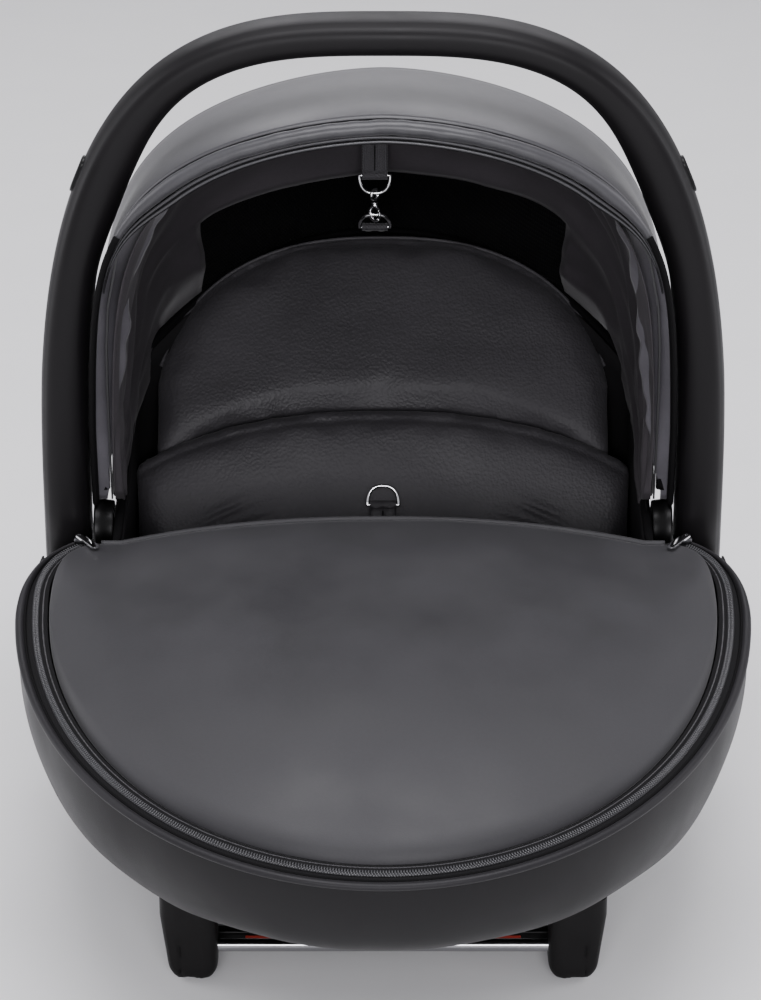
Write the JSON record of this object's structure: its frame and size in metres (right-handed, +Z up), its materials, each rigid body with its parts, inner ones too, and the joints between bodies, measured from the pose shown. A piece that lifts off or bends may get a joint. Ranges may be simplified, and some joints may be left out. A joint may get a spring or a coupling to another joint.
{
  "type": "pet carrier pod",
  "caption": "Pet carrier pod with folding hood, zipped apron over the front, padded back, tall carry handle and two latch runners.",
  "frame": {"origin": "centre of the footprint, on the floor under the runners", "axes": "+Z up, front of the pod towards -Y, +X to the pod's own left"},
  "size_m": [0.4718, 0.6516, 0.5527],
  "materials": {
    "shell_plastic": "fine matte moulded texture",
    "soft_shell": "smooth satin coated fabric",
    "handle_plastic": "satin soft-touch",
    "button_plastic": "satin",
    "spring_steel": "drawn wire",
    "dark_steel": "black zinc",
    "hood_fabric": "satin coated fabric",
    "mesh_fabric": "open mesh",
    "bow_plastic": "matte",
    "zip_coil": "satin nylon coil",
    "zip_tape": "woven tape",
    "chrome": "polished",
    "cushion_leather": "grained leather",
    "foot_rubber": "matte",
    "indicator_red": "satin",
    "webbing": "woven webbing"
  },
  "bodies": {
    "root": {"tub_shell": "shell_plastic", "fabric_skirt": "soft_shell", "side_fairing_left": "shell_plastic", "side_fairing_right": "shell_plastic", "runner_left": "shell_plastic", "runner_right": "shell_plastic", "latch_cross_bar": "shell_plastic", "handle_axle_left": "dark_steel", "handle_axle_right": "dark_steel", "detent_ring_left": "dark_steel", "detent_ring_right": "dark_steel", "hood_rivet_left": "dark_steel", "hood_rivet_right": "dark_steel", "hood_rear_panel": "hood_fabric", "mesh_window": "mesh_fabric", "hood_rear_bow": "bow_plastic", "hood_pivot_disc_left": "bow_plastic", "hood_pivot_disc_right": "bow_plastic", "zip_coil": "zip_coil", "zip_tape_lower": "zip_tape", "zip_slider_left": "chrome", "zip_slider_right": "chrome", "latch_rod_front": "chrome", "latch_rod_rear": "chrome", "back_cushion": "cushion_leather", "middle_cushion": "cushion_leather", "bed_cushion": "cushion_leather", "foot_pad_front_left": "foot_rubber", "foot_pad_rear_left": "foot_rubber", "foot_pad_front_right": "foot_rubber", "foot_pad_rear_right": "foot_rubber", "latch_indicator_left": "indicator_red", "latch_indicator_right": "indicator_red", "tether_upper_webbing": "webbing", "tether_lower_webbing": "webbing", "cushion_webbing": "webbing"},
    "handle": {"carry_handle": "handle_plastic", "handle_hub_left": "handle_plastic", "handle_hub_right": "handle_plastic", "hub_cap_left": "button_plastic", "hub_cap_right": "button_plastic", "button_spring_left": "spring_steel", "button_spring_right": "spring_steel"},
    "button_left": {"release_button_left": "button_plastic"},
    "button_right": {"release_button_right": "button_plastic"},
    "hood_front": {"hood_front_panel": "hood_fabric", "hood_front_bow": "bow_plastic", "hood_rim_binding": "hood_fabric"},
    "hood_middle": {"hood_middle_panel": "hood_fabric", "hood_middle_bow": "bow_plastic"},
    "apron": {"apron": "soft_shell", "zip_tape_upper": "zip_tape"},
    "pull_left": {"zip_pull_left": "chrome"},
    "pull_right": {"zip_pull_right": "chrome"},
    "upper_ring": {"tether_upper_ring": "chrome", "swivel_eye": "chrome"},
    "hook": {"snap_hook": "chrome"},
    "gate": {"snap_hook_gate": "chrome"},
    "lower_ring": {"tether_lower_ring": "chrome"},
    "cushion_ring": {"cushion_ring": "chrome"}
  },
  "joints": [
    {"name": "handle_swing", "type": "hinge", "parent": "root", "child": "handle", "pos_m": [0, 0.03442, 0.16], "axis": [1, 0, 0], "range_deg": [-105, 0]},
    {"name": "hood_fold", "type": "hinge", "parent": "root", "child": "hood_front", "pos_m": [0, 0.03442, 0.205], "axis": [1, 0, 0], "range_deg": [-44, 0]},
    {"name": "hood_middle_fold", "type": "hinge", "parent": "root", "child": "hood_middle", "pos_m": [0, 0.03442, 0.205], "axis": [1, 0, 0], "range_deg": [-22, 0]},
    {"name": "apron_open", "type": "hinge", "parent": "root", "child": "apron", "pos_m": [0, -0.31758, 0.153], "axis": [1, 0, 0], "range_deg": [0, 130]},
    {"name": "release_button_left_press", "type": "slide", "parent": "handle", "child": "button_left", "axis": [-0.9232, 0, -0.3843], "range_m": [0, 0.003], "stiffness_N_per_m": 800},
    {"name": "release_button_right_press", "type": "slide", "parent": "handle", "child": "button_right", "axis": [0.9232, 0, -0.3843], "range_m": [0, 0.003], "stiffness_N_per_m": 800},
    {"name": "zip_pull_left_flip", "type": "hinge", "parent": "root", "child": "pull_left", "pos_m": [0.198, 0.00482, 0.21436], "axis": [-0.809, 0.5878, 0], "range_deg": [0, 110]},
    {"name": "zip_pull_right_flip", "type": "hinge", "parent": "root", "child": "pull_right", "pos_m": [-0.198, 0.00482, 0.21436], "axis": [-0.809, -0.5878, 0], "range_deg": [0, 110]},
    {"name": "tether_ring_swing", "type": "hinge", "parent": "root", "child": "upper_ring", "pos_m": [-0.0056, 0.23742, 0.376], "axis": [1, 0, 0], "range_deg": [-1, 1]},
    {"name": "hook_swivel", "type": "hinge", "parent": "upper_ring", "child": "hook", "pos_m": [-0.0056, 0.23742, 0.355], "axis": [0, 0, 1], "range_deg": [-12, 12]},
    {"name": "hook_gate_open", "type": "hinge", "parent": "hook", "child": "gate", "pos_m": [-0.0056, 0.23278, 0.35015], "axis": [1, 0, 0], "range_deg": [0, 22], "stiffness_Nm_per_rad": 0.0005, "springref_deg": -11.46},
    {"name": "lower_ring_swing", "type": "hinge", "parent": "root", "child": "lower_ring", "pos_m": [-0.0056, 0.24462, 0.3356], "axis": [1, 0, 0], "range_deg": [-1, 1]},
    {"name": "cushion_ring_flip", "type": "hinge", "parent": "root", "child": "cushion_ring", "pos_m": [0, 0.12049, 0.18074], "axis": [1, 0, 0], "range_deg": [-5, 60]}
  ],
  "couplings": [
    {"joint": "hood_middle_fold", "follows": "hood_fold", "ratio": 0.5}
  ]
}
